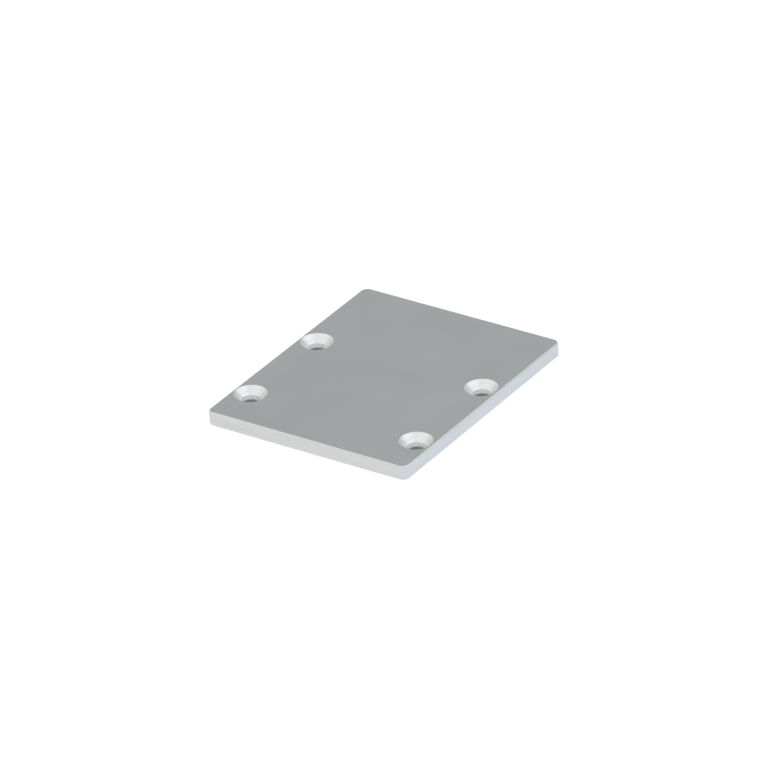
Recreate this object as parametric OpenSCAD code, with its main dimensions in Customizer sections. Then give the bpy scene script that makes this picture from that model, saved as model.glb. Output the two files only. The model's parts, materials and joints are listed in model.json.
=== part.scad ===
// Flat end cap for a rectangular aluminium tube: one machined plate with broken
// edges, small round corners and four countersunk screw holes. The two rows of
// holes sit towards one short end, because they follow screw channels inside
// the tube that aren't centred in it.
//
// The origin is the middle of the underside, the face that closes the tube.
// +Z points out of the tube, and +Y points from the end that has the nearer
// row of screws to the other end.

/* [Plate] */
// Width of the plate, along X
plate_width = 60; // [40:1:120]
// Length of the plate, along Y
plate_length = 73; // [60:1:160]
// Thickness of the plate
plate_thickness = 4; // [3:0.5:10]
// Radius of the four upright corners
corner_radius = 2; // [1:0.5:8]
// Width and height of the 45 degree bevel that breaks the outer edges
edge_break = 0.35; // [0.1:0.05:0.8]

/* [Screw positions] */
// Distance from each long side to the middle of its screws
side_margin = 5; // [5:0.5:14]
// Distance from the front end to the middle of the first row of screws
front_margin = 12.7; // [5:0.1:20]
// Distance between the two rows of screws
row_spacing = 30.3; // [12:0.1:36]

/* [Screw holes] */
// Diameter of the straight hole that clears the screw's thread
clearance_diameter = 4.8; // [3.2:0.1:6.6]
// Diameter of the countersink where it meets the outer face
countersink_diameter = 8.8; // [7:0.1:10]
// Full angle of the countersink, as on the screw's head
countersink_angle = 90; // [82, 90, 100, 120]

/* [Hidden] */

// Facets of a full turn
turn_facets = 96;
// How far a cutting shape runs past the face that it leaves
overrun = 1;

// Middles of the upright corners, which are rounded about them
corner_x = plate_width / 2 - corner_radius;
corner_y = plate_length / 2 - corner_radius;

// Middles of the screw holes
screw_x = plate_width / 2 - side_margin;
front_row_y = front_margin - plate_length / 2;
screw_rows = [front_row_y, front_row_y + row_spacing];

// Depth of the countersink, from its two diameters and its angle
countersink_slope = tan(countersink_angle / 2);
countersink_depth = (countersink_diameter - clearance_diameter) / 2 / countersink_slope;

// Right half of an upright section that reaches out to a broken edge, listed
// anticlockwise from the foot of the middle line
function half_section(reach) = [
    [0, 0],
    [reach - edge_break, 0],
    [reach, edge_break],
    [reach, plate_thickness - edge_break],
    [reach - edge_break, plate_thickness],
    [0, plate_thickness]
];

// Bar of the given width with the plate's section, running along Y and centred
// on the origin
module bar(width, length) {
    rotate([90, 0, 0])
        linear_extrude(length, center = true)
            for (side = [0, 1])
                mirror([side, 0])
                    polygon(half_section(width / 2));
}

// Upright corner: the same section turned about the corner's middle, so its
// bevels run round as cones and meet those of the straight sides
module corner() {
    rotate_extrude($fn = turn_facets)
        polygon(half_section(corner_radius));
}

// Plate without its holes: two bars that cross, and a turned corner in each of
// the four places that they leave open
module blank() {
    bar(plate_width, 2 * corner_y);
    rotate([0, 0, 90])
        bar(plate_length, 2 * corner_x);
    for (x = [-corner_x, corner_x], y = [-corner_y, corner_y])
        translate([x, y, 0])
            corner();
}

// What the drill and the countersink take out for one screw, as one turned
// shape about the screw's middle line
module screw_hole() {
    straight = clearance_diameter / 2;
    mouth = countersink_diameter / 2 + overrun * countersink_slope;
    rotate_extrude($fn = turn_facets)
        polygon([
            [0, -overrun],
            [straight, -overrun],
            [straight, plate_thickness - countersink_depth],
            [mouth, plate_thickness + overrun],
            [0, plate_thickness + overrun]
        ]);
}

// The end cap, in satin aluminium
module end_cap() {
    color("silver")
        difference() {
            blank();
            for (x = [-screw_x, screw_x], y = screw_rows)
                translate([x, y, 0])
                    screw_hole();
        }
}

end_cap();
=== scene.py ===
# %% [markdown]
# # A machined end cap for a rectangular tube
# The object is one flat plate of aluminium that closes the end of a tube, held by four countersunk
# screws. This file dresses it for a picture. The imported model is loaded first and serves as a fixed
# frame, so nothing here can change the size or the place of the real part.

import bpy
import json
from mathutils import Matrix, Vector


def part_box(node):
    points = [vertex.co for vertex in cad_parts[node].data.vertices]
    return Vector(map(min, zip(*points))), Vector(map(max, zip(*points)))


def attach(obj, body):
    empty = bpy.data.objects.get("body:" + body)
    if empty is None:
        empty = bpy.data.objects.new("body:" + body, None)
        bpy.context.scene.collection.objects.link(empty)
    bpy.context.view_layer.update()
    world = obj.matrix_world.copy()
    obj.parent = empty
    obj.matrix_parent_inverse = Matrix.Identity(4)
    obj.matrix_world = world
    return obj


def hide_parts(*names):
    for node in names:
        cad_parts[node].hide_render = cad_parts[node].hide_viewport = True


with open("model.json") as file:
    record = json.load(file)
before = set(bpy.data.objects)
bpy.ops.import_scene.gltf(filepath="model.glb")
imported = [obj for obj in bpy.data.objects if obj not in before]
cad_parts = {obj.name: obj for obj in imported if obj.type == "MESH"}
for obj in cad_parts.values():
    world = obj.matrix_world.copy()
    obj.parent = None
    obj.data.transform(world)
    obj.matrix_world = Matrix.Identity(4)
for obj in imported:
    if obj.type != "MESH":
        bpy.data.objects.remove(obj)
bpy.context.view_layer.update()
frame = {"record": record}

# %% [markdown]
# ## Sizes
# The plate's outline and the middles of the screws are read from the frame, so the dressed plate
# can't drift away from the real part. The small features aren't told there, so they are named here
# in metres, as on a drawing: round corners, broken edges and the two diameters of each hole.

# %% Driving sizes
import json
import math

import bmesh
import bpy
import numpy as np
from mathutils import Matrix

MM = 0.001
low, high = (np.array(corner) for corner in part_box("end_cap"))
width, length, thickness = high - low
corner_radius = 2.0 * MM
edge_break = 0.35 * MM
countersink_radius = 4.4 * MM
clearance_radius = 2.4 * MM

mounts = {mount["name"]: mount for mount in frame["record"]["mounts"]}
pattern = mounts["screw_holes"]
middle_x, middle_y = pattern["pos_m"][:2]
column = pattern["dims"]["spacing_x_mm"] / 2 * MM
row = pattern["dims"]["spacing_y_mm"] / 2 * MM
print("plate %.1f x %.1f x %.1f mm" % tuple(size / MM for size in (width, length, thickness)))

# %% [markdown]
# ## Camera
# A long lens far away keeps the plate's edges nearly parallel, as in the picture. The camera's place
# is given by a compass direction, a height above the horizon and a distance, and it is tilted a
# little about its own line of sight. Together they are one rotation matrix, whose columns are the
# camera's right, up and backward directions.

# %% Camera
camera_turn = math.radians(34.841)
camera_height = math.radians(29.614)
camera_tilt = math.radians(-3.282)
camera_distance = 1890.1 * MM
aim_right, aim_up = -0.325 * MM, 1.317 * MM

towards_camera = np.array([math.sin(camera_turn), -math.cos(camera_turn), 0.0])
straight_up = np.array([0.0, 0.0, 1.0])
backward = towards_camera * math.cos(camera_height) + straight_up * math.sin(camera_height)
level = np.array([math.cos(camera_turn), math.sin(camera_turn), 0.0])
upright = np.cross(backward, level)
right = level * math.cos(camera_tilt) + upright * math.sin(camera_tilt)
up = upright * math.cos(camera_tilt) - level * math.sin(camera_tilt)

camera_data = bpy.data.cameras.new("camera")
camera_data.lens = 348.98
camera_data.sensor_width = 36.0
camera_data.clip_start = 0.01
camera_data.clip_end = 20.0
camera = bpy.data.objects.new("camera", camera_data)
bpy.context.scene.collection.objects.link(camera)
placing = np.eye(4)
placing[:3, :3] = np.array([right, up, backward]).T
placing[:3, 3] = aim_right * right + aim_up * up + camera_distance * backward
camera.matrix_world = Matrix(placing.tolist())
bpy.context.scene.camera = camera
print("camera stands at", np.round(placing[:3, 3], 3))

# %% [markdown]
# ## A helper for node trees
# Every finish here is a small tree of nodes. Writing each node as one call, with its inputs given as
# plain values or as another node's output, keeps a tree as short as its drawing would be.

# %% Node helper
def clean_tree(owner):
    """The empty node tree of a material or a world."""
    owner.use_nodes = True
    owner.node_tree.nodes.clear()
    return owner.node_tree


def add(tree, kind, sockets=None, **settings):
    """A new node of that kind. Settings are its own properties, and sockets maps the name or number
    of an input to a value or to the output that feeds it."""
    node = tree.nodes.new("ShaderNode" + kind)
    for name, value in settings.items():
        setattr(node, name, value)
    for name, value in (sockets or {}).items():
        if isinstance(value, bpy.types.NodeSocket):
            tree.links.new(value, node.inputs[name])
        else:
            node.inputs[name].default_value = value
    return node


def arithmetic(tree, operation, first, second):
    """The result of one sum on two numbers or outputs."""
    return add(tree, "Math", {0: first, 1: second}, operation=operation).outputs[0]

# %% [markdown]
# ## Light
# Bare metal has hardly any colour of its own: it shows what stands around it. The flat top mirrors
# what is behind the plate, so a dark card there turns it mid grey. The countersinks and the bevels
# mirror two large soft lamps, one at each side, and the sides mirror the pale table. Lamps and cards
# could be real objects, but painted on the sky they give the same light without noise: the room starts
# as a pale gradient from the horizon to the ceiling, and each card lays its colour over it with a soft
# border. Light adds up, so the colours didn't have to be guessed: the plate was rendered once in the
# light of each layer alone, and the mixture that comes closest to the real plate was solved for.
# Beyond the table the camera alone sees plain white, and mirrored rays meet the painted room.

# %% Studio room
plain_white = (1.0, 1.0, 1.0, 1.0)
horizon, ceiling = (0.82, 0.815, 0.845, 1.0), (0.655, 0.705, 0.73, 1.0)
ceiling_height = math.sin(math.radians(45.0))
cards = {   # degrees to the right of the camera's side, degrees up, reach in degrees, and colour
    "left lamp": (-70.0, 62.0, 68.0, (1.005, 0.995, 0.97, 1.0)),
    "right lamp": (75.0, 47.0, 50.0, (1.065, 1.095, 1.11, 1.0)),
    "dark card": (177.0, 30.0, 56.0, (0.43, 0.45, 0.455, 1.0)),
}
MIX_UNDER, MIX_OVER, MIX_RESULT = 6, 7, 2   # a Mix node's colours go by number: their names repeat


def soft_step(tree, value, lowest, highest):
    """Zero below the lowest value, one above the highest, and a smooth bend between them."""
    sockets = {"Value": value, "From Min": lowest, "From Max": highest}
    return add(tree, "MapRange", sockets, interpolation_type="SMOOTHSTEP").outputs["Result"]


def lay_over(tree, share, under, over):
    """The colour under, covered by the colour over as far as the share goes from zero to one."""
    sockets = {0: share, MIX_UNDER: under, MIX_OVER: over}
    return add(tree, "Mix", sockets, data_type="RGBA").outputs[MIX_RESULT]


bpy.context.scene.view_settings.view_transform = "Standard"
world = bpy.data.worlds.new("studio")
bpy.context.scene.world = world
tree = clean_tree(world)
direction = add(tree, "TexCoord").outputs["Generated"]
height = add(tree, "SeparateXYZ", {0: direction}).outputs["Z"]
colour = lay_over(tree, soft_step(tree, height, 0.0, ceiling_height), horizon, ceiling)
for name, (bearing, elevation, reach, paint) in cards.items():
    bearing, elevation, reach = (math.radians(angle) for angle in (bearing, elevation, reach))
    flat = towards_camera * math.cos(bearing) + level * math.sin(bearing)
    middle = flat * math.cos(elevation) + straight_up * math.sin(elevation)
    facing = add(tree, "VectorMath", {0: direction, 1: middle}, operation="DOT_PRODUCT")
    covered = soft_step(tree, facing.outputs["Value"], math.cos(reach), 1.0)
    colour = lay_over(tree, covered, colour, paint)
    print(name, "stands towards", np.round(middle, 2))
room = add(tree, "Background", {"Color": colour, "Strength": 1.0}).outputs[0]
white = add(tree, "Background", {"Color": plain_white, "Strength": 1.0}).outputs[0]
seen = add(tree, "LightPath").outputs["Is Camera Ray"]
surroundings = add(tree, "MixShader", {0: seen, 1: room, 2: white}).outputs[0]
add(tree, "OutputWorld", {"Surface": surroundings})

# %% [markdown]
# ## Table
# The plate lies on a plain pale table. To the camera the table is white, so most of what it sees is a
# glow of the table's own, and only the rest is a matt surface that the plate shades softly. The sides
# of the plate stand upright, so they mirror the table and not the lamps: mirrored rays, and those
# that pass through glass, get the same share of glow. To the right of the plate the mirrored table is
# a little cooler: a painted cool light, as if daylight reached it, that shows only in reflections.

# %% Table
table_half = 3.0
table_drop = 0.01 * MM
matt_white = (0.88, 0.88, 0.88, 1.0)
glow_share = 0.8
seen_white = (1.11, 1.11, 1.11, 1.0)
# painted cool light: beside the plate's right side the table's mirrored glow turns bluish, as if
# daylight fell there
mirrored_white, painted_cool_light = (1.03, 1.03, 1.03, 1.0), (1.0, 1.045, 1.14, 1.0)
painted_cool_from = high[0] - 2 * MM
corners = np.array([[-1, -1], [1, -1], [1, 1], [-1, 1]]) * table_half
corners = np.column_stack([corners, np.full(4, low[2] - table_drop)])
table_mesh = bpy.data.meshes.new("table")
table_mesh.from_pydata(corners.tolist(), [], [(0, 1, 2, 3)])
table = bpy.data.objects.new("table", table_mesh)
bpy.context.scene.collection.objects.link(table)

table_finish = bpy.data.materials.new("matt_table")
tree = clean_tree(table_finish)
matt = add(tree, "BsdfDiffuse", {"Color": matt_white}).outputs[0]
place = add(tree, "TexCoord").outputs["Object"]
sideways = add(tree, "SeparateXYZ", {0: place}).outputs["X"]
# painted cool light, seen only in reflections: bluish to the right of the plate
cool_light_mask = soft_step(tree, sideways, painted_cool_from, high[0])
tint = lay_over(tree, cool_light_mask, mirrored_white, painted_cool_light)
rays = add(tree, "LightPath").outputs
mirrored = arithmetic(tree, "MAXIMUM", rays["Is Glossy Ray"], rays["Is Transmission Ray"])
tint = lay_over(tree, rays["Is Camera Ray"], tint, seen_white)
glow = add(tree, "Emission", {"Color": tint, "Strength": 1.0}).outputs[0]
either = arithmetic(tree, "MAXIMUM", rays["Is Camera Ray"], mirrored)
share = arithmetic(tree, "MULTIPLY", either, glow_share)
surface = add(tree, "MixShader", {0: share, 1: matt, 2: glow}).outputs[0]
add(tree, "OutputMaterial", {"Surface": surface})
table_mesh.materials.append(table_finish)
print("table", 2 * table_half, "m square")

# %% [markdown]
# ## Profiles with small fillets
# No machined edge is perfectly sharp: each one has a tiny radius that catches a line of light. Every
# section of this plate is therefore a polyline whose corners are replaced by short arcs. The straight
# runs between them get points close to both ends, so that smooth shading bends only over the fillets.

# %% Profile helpers
window_slope, slow_wave = 6, 0.618


def fillet(before, corner, after, radius, steps):
    """Points of the arc that touches both sides of a corner. It starts and ends at a distance of
    radius times the tangent of half the turn, and its middle lies on the corner's bisector."""
    to_before = (before - corner) / np.linalg.norm(before - corner)
    to_after = (after - corner) / np.linalg.norm(after - corner)
    turn = math.pi - math.acos(float(to_before @ to_after))
    reach = radius * math.tan(turn / 2)
    bisector = (to_before + to_after) / np.linalg.norm(to_before + to_after)
    middle = corner + bisector * radius / math.cos(turn / 2)
    start, end = corner + to_before * reach - middle, corner + to_after * reach - middle
    share = np.linspace(0, 1, steps + 1)[:, None]
    return middle + (np.sin((1 - share) * turn) * start + np.sin(share * turn) * end) / math.sin(turn)


def ripple(points, depth, pitch):
    """The points of a straight run sunk along its normal by waves: depth times a window that is zero
    at the ends and one in the middle, times half of one plus a mean of two sines of the distance. The
    first sine counts twice and repeats after the pitch, and the second is slower."""
    along = (points[-1] - points[0]) / np.linalg.norm(points[-1] - points[0])
    distance = (points - points[0]) @ along
    to_end = np.minimum(distance, distance[-1] - distance)
    window = np.minimum(1, window_slope * to_end / distance[-1])
    turns = 2 * math.pi * distance / pitch
    wave = (2 * np.sin(turns) + np.sin(slow_wave * turns + 1)) / 3
    normal = np.array([-along[1], along[0]])
    return points + normal * (depth * window * (1 + wave) / 2)[:, None]


def profile(corners, radii, rows, steps, cuts, margin):
    """A section through the given corners. Returns its points, and for each step between two points
    the number of the straight run that it belongs to. A fillet belongs to the run that has tool marks,
    or to the one before it. rows counts the points of each run, steps the parts of each fillet, and
    margin is how close a run's points come to its ends. cuts gives the depth and pitch of the tool
    marks of each run, or None."""
    corners = np.array(corners)
    arcs = [fillet(*corners[k:k + 3], radius, steps) for k, radius in enumerate(radii)]
    starts = [corners[0]] + [arc[-1] for arc in arcs]
    ends = [arc[0] for arc in arcs] + [corners[-1]]
    points, runs = [corners[:1]], []
    for k, (start, end) in enumerate(zip(starts, ends)):
        inside = margin / np.linalg.norm(end - start)
        share = np.linspace(inside, 1 - inside, rows[k])[:, None]
        run = start + share * (end - start)
        if cuts[k]:
            run = ripple(run, *cuts[k])
        points += [run, arcs[k] if k < len(arcs) else corners[-1:]]
        runs += [k] * (rows[k] + 1)
        if k < len(arcs):
            owner = k + 1 if cuts[k + 1] and not cuts[k] else k
            runs += [owner] * steps
    return np.concatenate(points), np.array(runs)

# %% [markdown]
# ## The two sections
# The first section runs from the top face over the broken edge, down the side and under it: it will
# be carried round the outline. The second runs from the underside up through a hole and out at the
# rim: it will be turned about each screw. A cutter leaves fine lines on the sides and rings in the
# holes, one to four thousandths of a millimetre deep. They are part of the sections, and each kind of
# marks is given by its depth and its pitch.

# %% Sections
fillet_steps = 6
fillet_margin = 0.012 * MM
edge_fillet, rim_fillet, foot_fillet, mouth_fillet = 0.3 * MM, 0.08 * MM, 0.4 * MM, 0.08 * MM
face_inset, mouth_margin, rim_margin = 0.49 * MM, 0.25 * MM, 0.07 * MM
mill_marks = (0.0012 * MM, 0.31 * MM)
drill_marks = (0.001 * MM, 0.2 * MM)
turning_marks = (0.004 * MM, 0.46 * MM)

side_corners = [
    (face_inset, thickness), (edge_break, thickness), (0, thickness - edge_break),
    (0, edge_break), (edge_break, 0), (face_inset, 0),
]
side_section, side_runs = profile(
    side_corners, [edge_fillet] * 4, rows=[2, 3, 34, 3, 2], steps=fillet_steps,
    cuts=[None, None, mill_marks, None, None], margin=fillet_margin,
)

countersink_foot = thickness - (countersink_radius - clearance_radius)
hole_corners = [
    (clearance_radius + mouth_margin, 0), (clearance_radius, 0),
    (clearance_radius, countersink_foot), (countersink_radius, thickness),
    (countersink_radius + rim_margin, thickness),
]
hole_section, hole_runs = profile(
    hole_corners, [mouth_fillet, foot_fillet, rim_fillet], rows=[2, 22, 56, 2],
    steps=fillet_steps, cuts=[None, drill_marks, turning_marks, None], margin=fillet_margin,
)
print(len(side_section), "points in the side section and", len(hole_section), "in the hole section")

# %% [markdown]
# ## A quarter of the plate
# A flat face with round holes has no natural grid of its own. Here the plate is divided into four
# fields, one round each screw, and each field is ruled by rays from the middle of its hole: the same
# rays carry the hole's section, the flat faces and, where they reach the outline, the side. Rays are
# added at the corners of a field and along the round corner, so neighbouring fields share their
# points and the outline keeps its true form.

# %% Rays of one field
ray_count = 128
arc_rays = 17
closest_rays = math.radians(0.4)
rounding, on_a_line = 1e-9, 1e-8


def field_rays(hole, outer, inner):
    """Angles of the rays from one hole, sorted anticlockwise from the field's inner corner. Evenly
    spaced rays are joined by those to the field's three sharp corners and along its round one, and
    an even ray that comes too close to one of those is left out."""
    side = np.sign(outer - inner)
    middle = outer - side * (corner_radius - face_inset)
    turn = np.linspace(0, math.pi / 2, arc_rays)
    arc = middle + side * (corner_radius - face_inset) * np.column_stack([np.cos(turn), np.sin(turn)])
    corner = np.array([inner, (inner[0], outer[1]), (outer[0], inner[1])])
    named = np.concatenate([corner, arc]) - hole
    named = np.arctan2(named[:, 1], named[:, 0])
    even = np.arange(ray_count) * 2 * math.pi / ray_count
    gap = np.abs((even[:, None] - named + math.pi) % (2 * math.pi) - math.pi)
    angles = np.concatenate([named, even[gap.min(1) > closest_rays]])
    first = math.atan2(*(inner - hole)[::-1])
    turned = (angles - first + rounding) % (2 * math.pi)
    return np.sort(turned) + first - rounding


def field_border(hole, outer, inner, angles):
    """Where each ray leaves its field, and the outline's outward normal there, or zero on a border
    that two fields share. A ray meets an upright or a level border at the smaller of the distances
    along X and Y, and in the round corner it meets the circle about the corner's middle."""
    ray = np.column_stack([np.cos(angles), np.sin(angles)])
    side = np.sign(outer - inner)
    border = np.where(ray * side > 0, outer, inner)
    with np.errstate(divide="ignore"):
        reach = np.abs((border - hole) / ray).min(1)
    point = hole + ray * reach[:, None]
    radius = corner_radius - face_inset
    middle = outer - side * radius
    rounded = ((point - middle) * side > rounding).all(1)
    offset = hole - middle
    along = ray @ offset
    reach = np.sqrt(np.maximum(along ** 2 - offset @ offset + radius ** 2, 0)) - along
    point = np.where(rounded[:, None], hole + ray * reach[:, None], point)
    on_outline = np.abs(point - outer) < on_a_line
    normal = np.where(on_outline, side, 0.0)
    normal[on_outline.all(1)] *= math.sqrt(0.5)
    return point, np.where(rounded[:, None], (point - middle) / radius, normal)

# %% [markdown]
# ## One mesh from many grids
# Each field gives two grids: one goes up through the hole and ends on the two flat faces, the other
# is the side. They are kept as whole arrays until the end. A second set of numbers travels with the
# points of a hole: the cosine and sine of the ray and the distance along the section. Unlike a flat
# map it closes on itself, so the marks of the turned faces have no seam.

# %% Grids
grids = []
FACE, EDGE, CONE, WALL = range(4)
face_rows = np.array([[1.0], [0.7], [0.35]])


def keep_grid(points, marks, finish):
    """Stores a grid of points, rows by columns, with its marks and with one finish for each row of
    faces. Faces are wound so that they look along the row direction crossed with the column's."""
    grids.append((points, marks, finish))


def sweep_hole(hole, border, angles):
    """The grid of one hole and its flat faces: point = hole + distance * ray, with the distance
    going from the border in to the section's foot, through the section, and out to the border."""
    ray = np.column_stack([np.cos(angles), np.sin(angles)])
    edge = np.linalg.norm(border - hole, axis=1)
    under = edge * face_rows + hole_section[0, 0] * (1 - face_rows)
    over = (edge * face_rows + hole_section[-1, 0] * (1 - face_rows))[::-1]
    turned = np.repeat(hole_section[:, :1], len(angles), axis=1)
    distance = np.concatenate([under, turned, over])
    rows = len(face_rows)
    height = np.concatenate([[0.0] * rows, hole_section[:, 1], [thickness] * rows])
    points = np.empty(distance.shape + (3,))
    points[..., :2] = hole + distance[..., None] * ray
    points[..., 2] = low[2] + height[:, None]
    step = np.linalg.norm(np.diff(hole_section, axis=0), axis=1)
    travel = np.concatenate([[0.0] * (rows + 1), np.cumsum(step), [step.sum()] * rows]) / MM
    marks = np.empty_like(points)
    marks[..., :2] = ray
    marks[..., 2] = travel[:, None]
    names = np.array([FACE, WALL, CONE, FACE])
    finish = np.concatenate([[FACE] * rows, names[hole_runs], [FACE] * rows])
    keep_grid(points, marks, finish)


def sweep_side(border, normal):
    """The grid of the side: point = border + normal * (inset of the border - inset of the section),
    carried along the outline."""
    points = np.empty((len(side_section), len(border), 3))
    points[..., :2] = border + normal * (face_inset - side_section[:, :1])[:, :, None]
    points[..., 2] = low[2] + side_section[:, 1:]
    names = np.array([FACE, EDGE, EDGE, EDGE, FACE])
    keep_grid(points, np.zeros_like(points), names[side_runs])


for sign_x in (-1, 1):
    for sign_y in (-1, 1):
        hole = np.array([middle_x + sign_x * column, middle_y + sign_y * row])
        outer = np.where([sign_x > 0, sign_y > 0], high[:2] - face_inset, low[:2] + face_inset)
        inner = np.array([(low[0] + high[0]) / 2, middle_y])
        angles = field_rays(hole, outer, inner)
        border, normal = field_border(hole, outer, inner, angles)
        closed = np.append(angles, angles[0])
        sweep_hole(hole, np.vstack([border, border[:1]]), closed)
        outline = np.abs(normal).sum(1) > 0
        sweep_side(border[outline], normal[outline])
print(len(grids), "grids,", sum(points.size // 3 for points, _, _ in grids), "points")

# %% [markdown]
# ## The mesh
# The grids become one list of points and one of four-sided faces. Points of neighbouring grids that
# fall on each other are merged, which closes the surface. Two tests then say whether it is sound:
# every edge has exactly two faces, and the volume comes out positive, so the faces look outwards.

# %% Build the plate
def quads_of(rows, columns):
    """Corner numbers of the faces of a grid, as an array of rows by columns by four."""
    number = np.arange(rows * columns).reshape(rows, columns)
    return np.stack([number[:-1, :-1], number[1:, :-1], number[1:, 1:], number[:-1, 1:]], axis=-1)


weld_distance = 0.001 * MM
points, marks, quads, finishes = [], [], [], []
count = 0
for grid_points, grid_marks, grid_finish in grids:
    rows, columns = grid_points.shape[:2]
    points.append(grid_points.reshape(-1, 3))
    marks.append(grid_marks.reshape(-1, 3))
    quads.append(quads_of(rows, columns).reshape(-1, 4) + count)
    finishes.append(np.repeat(grid_finish, columns - 1))
    count += rows * columns

mesh = bpy.data.meshes.new("end_cap_plate")
mesh.from_pydata(np.concatenate(points).tolist(), [], np.concatenate(quads).tolist())
mesh.polygons.foreach_set("material_index", np.concatenate(finishes).astype(np.int32))
mesh.polygons.foreach_set("use_smooth", np.ones(len(mesh.polygons), bool))
tool_marks = mesh.attributes.new("tool_marks", "FLOAT_VECTOR", "POINT")
tool_marks.data.foreach_set("vector", np.concatenate(marks).astype(np.float32).ravel())

welded = bmesh.new()
welded.from_mesh(mesh)
bmesh.ops.remove_doubles(welded, verts=welded.verts, dist=weld_distance)
open_edges = sum(len(edge.link_faces) != 2 for edge in welded.edges)
volume = welded.calc_volume(signed=True)
welded.to_mesh(mesh)
welded.free()
plate = bpy.data.objects.new("end_cap_plate", mesh)
bpy.context.scene.collection.objects.link(plate)
triangles = sum(polygon.loop_total - 2 for polygon in mesh.polygons)
print(triangles, "triangles,", open_edges, "open edges, volume %.1f mm3" % (volume / MM ** 3))

# %% [markdown]
# ## Satin faces
# The two flat faces are blasted and anodised: a fine, even grain with no direction, so a reflection
# blurs alike all ways. The grain is a noise about a sixth of a millimetre across that only tilts the
# surface. A broad, weak cloud changes the grey and the roughness by a percent or two, as on any plate
# that hung in a bath. Metal is a metallic surface with a pale base colour, not a grey paint.

# %% Satin faces
silver = (0.72, 0.73, 0.73, 1.0)
grain_size, grain_depth, cloud_size = 0.16 * MM, 0.006 * MM, 14 * MM
satin_roughness, satin_darkest = (0.40, 0.43), 0.975


def metal(name):
    """A new material with its tree, which holds only a metallic shader and the output."""
    material = bpy.data.materials.new(name)
    tree = clean_tree(material)
    shader = add(tree, "BsdfPrincipled", {"Metallic": 1.0})
    add(tree, "OutputMaterial", {"Surface": shader.outputs[0]})
    return material, tree, shader


def noise(tree, vector, scale, detail):
    """Smooth random values from 0 to 1, with lumps of about one over the scale. Each step of detail
    adds lumps of half the size."""
    sockets = {"Vector": vector, "Scale": scale, "Detail": detail}
    return add(tree, "TexNoise", sockets).outputs["Fac"]


def between(tree, value, lowest, highest):
    """Stretches the usual spread of a noise, 0.3 to 0.7, to the two given numbers."""
    sockets = {"Value": value, "From Min": 0.3, "From Max": 0.7, "To Min": lowest, "To Max": highest}
    return add(tree, "MapRange", sockets).outputs["Result"]


def shade(tree, colour, value, darkest):
    """The colour, multiplied by darkest to one as the value goes from low to high."""
    grey = between(tree, value, darkest, 1.0)
    sockets = {0: 1.0, MIX_UNDER: colour, MIX_OVER: grey}
    return add(tree, "Mix", sockets, data_type="RGBA", blend_type="MULTIPLY").outputs[MIX_RESULT]


def bump(tree, height, depth, normal=None):
    """A surface tilted as if the height, from 0 to 1, were that deep in metres."""
    sockets = {"Height": height, "Distance": depth, "Strength": 1.0}
    if normal:
        sockets["Normal"] = normal
    return add(tree, "Bump", sockets).outputs["Normal"]


satin, tree, shader = metal("blasted_satin")
place = add(tree, "TexCoord").outputs["Object"]
grain = noise(tree, place, 1 / grain_size, detail=3.0)
cloud = noise(tree, place, 1 / cloud_size, detail=4.0)
tree.links.new(shade(tree, silver, cloud, satin_darkest), shader.inputs["Base Color"])
tree.links.new(between(tree, cloud, *satin_roughness), shader.inputs["Roughness"])
tree.links.new(bump(tree, grain, grain_depth), shader.inputs["Normal"])
mesh.materials.append(satin)
print("satin faces: grain %.2f mm, cloud %.0f mm" % (grain_size / MM, cloud_size / MM))

# %% [markdown]
# ## Milled edges
# The sides and the bevels were cut by a mill that ran along them, so their marks are long and thin.
# The same noise is used, squeezed in height and stretched along the edge by a Mapping node. Because
# it reads the piece's own coordinates, the lines run on round the corners.

# %% Milled edges
lines_each_metre = (40.0, 40.0, 2600.0)
line_depth, cut_grain_size, cut_grain_depth = 0.002 * MM, 0.12 * MM, 0.002 * MM
milled_roughness, milled_darkest = (0.40, 0.33), 0.92
milled, tree, shader = metal("milled_edge")
place = add(tree, "TexCoord").outputs["Object"]
stretched = add(tree, "Mapping", {"Vector": place, "Scale": lines_each_metre}).outputs["Vector"]
lines = noise(tree, stretched, 1.0, detail=4.0)
grain = noise(tree, place, 1 / cut_grain_size, detail=2.0)
tree.links.new(shade(tree, silver, lines, milled_darkest), shader.inputs["Base Color"])
tree.links.new(between(tree, lines, *milled_roughness), shader.inputs["Roughness"])
combined = bump(tree, grain, cut_grain_depth, bump(tree, lines, line_depth))
tree.links.new(combined, shader.inputs["Normal"])
mesh.materials.append(milled)
print("milled edges: lines about %.1f mm wide" % (1 / lines_each_metre[2] / MM))
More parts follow.
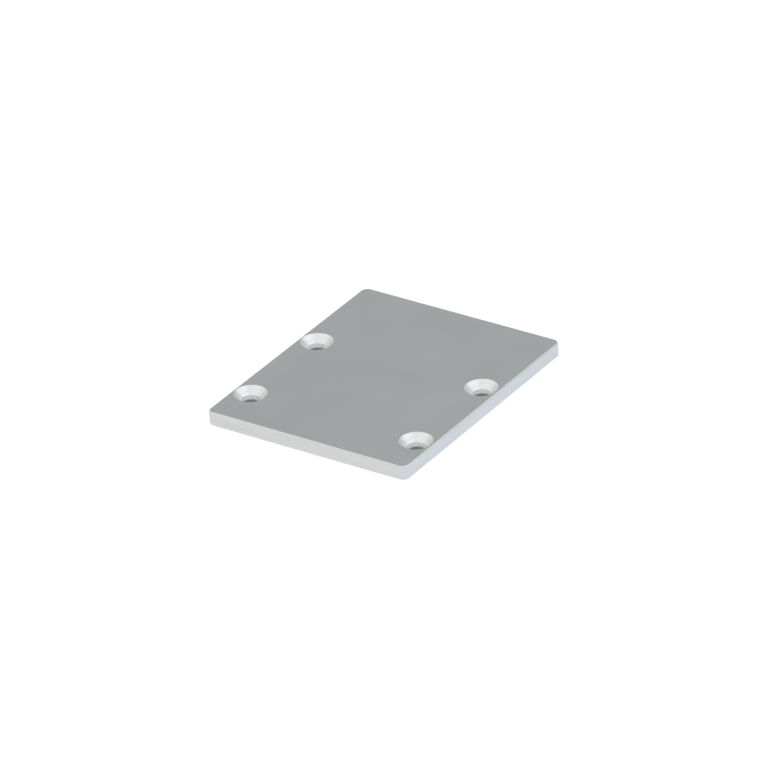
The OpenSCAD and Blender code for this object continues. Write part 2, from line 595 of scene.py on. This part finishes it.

# %% [markdown]
# ## Turned countersinks and drilled walls
# The holes are much whiter than the faces, as metal is that was cut after the plate was anodised, so
# they get a brighter base. The countersinking tool leaves smooth metal with a few rings, and the drill
# a rougher wall with finer ones. The rings of the section are real shape. The noise adds fainter ones:
# it reads the numbers that travel with the points, squeezed along the section and slow round the turn.
# The foot of each wall is much darker than this room's light would leave it, so painted shade lies
# there:
# a grey in the colour that stands in for the shade deep in the hole. It fades out upwards, by the
# height alone.

# %% Turned and drilled faces
bright_metal = (0.83, 0.84, 0.845, 1.0)
drilled_metal = (0.90, 0.91, 0.915, 1.0)
# painted shade at the foot of each hole wall: the two heights it fades between, and its grey
foot_shade_low, foot_shade_high = 0.55 * MM, 1.3 * MM
painted_foot_shade = (0.27, 0.27, 0.27, 1.0)
round_the_turn = 0.8


def turned_metal(name, base, rings, darkest, smooth, rough, depth):
    """Metal of that base colour with rings: so many for each millimetre of the section, the darkest
    share of the colour, the roughness on and between rings, and the depth of their marks. The painted
    shade, a grey at the foot of the wall, fades out between two heights above the underside."""
    material, tree, shader = metal(name)
    around = add(tree, "Attribute", attribute_name="tool_marks").outputs["Vector"]
    scale = (round_the_turn, round_the_turn, rings)
    squeezed = add(tree, "Mapping", {"Vector": around, "Scale": scale}).outputs["Vector"]
    marks = noise(tree, squeezed, 1.0, detail=3.0)
    height = add(tree, "SeparateXYZ", {0: add(tree, "TexCoord").outputs["Object"]}).outputs["Z"]
    # painted shade: the colour turns grey towards the underside, by the height alone
    unshaded = soft_step(tree, height, foot_shade_low, foot_shade_high)
    colour = lay_over(tree, unshaded, painted_foot_shade, shade(tree, base, marks, darkest))
    tree.links.new(colour, shader.inputs["Base Color"])
    tree.links.new(between(tree, marks, rough, smooth), shader.inputs["Roughness"])
    tree.links.new(bump(tree, marks, depth), shader.inputs["Normal"])
    print(name, rings, "rings for each millimetre")
    return material


mesh.materials.append(turned_metal(
    "turned_countersink", bright_metal, rings=2.6, darkest=0.90, smooth=0.14, rough=0.22,
    depth=0.004 * MM,
))
mesh.materials.append(turned_metal(
    "drilled_wall", drilled_metal, rings=9.0, darkest=0.90, smooth=0.62, rough=0.70,
    depth=0.003 * MM,
))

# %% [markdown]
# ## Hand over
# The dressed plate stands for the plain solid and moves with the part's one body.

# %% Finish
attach(plate, "root")
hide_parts("end_cap")
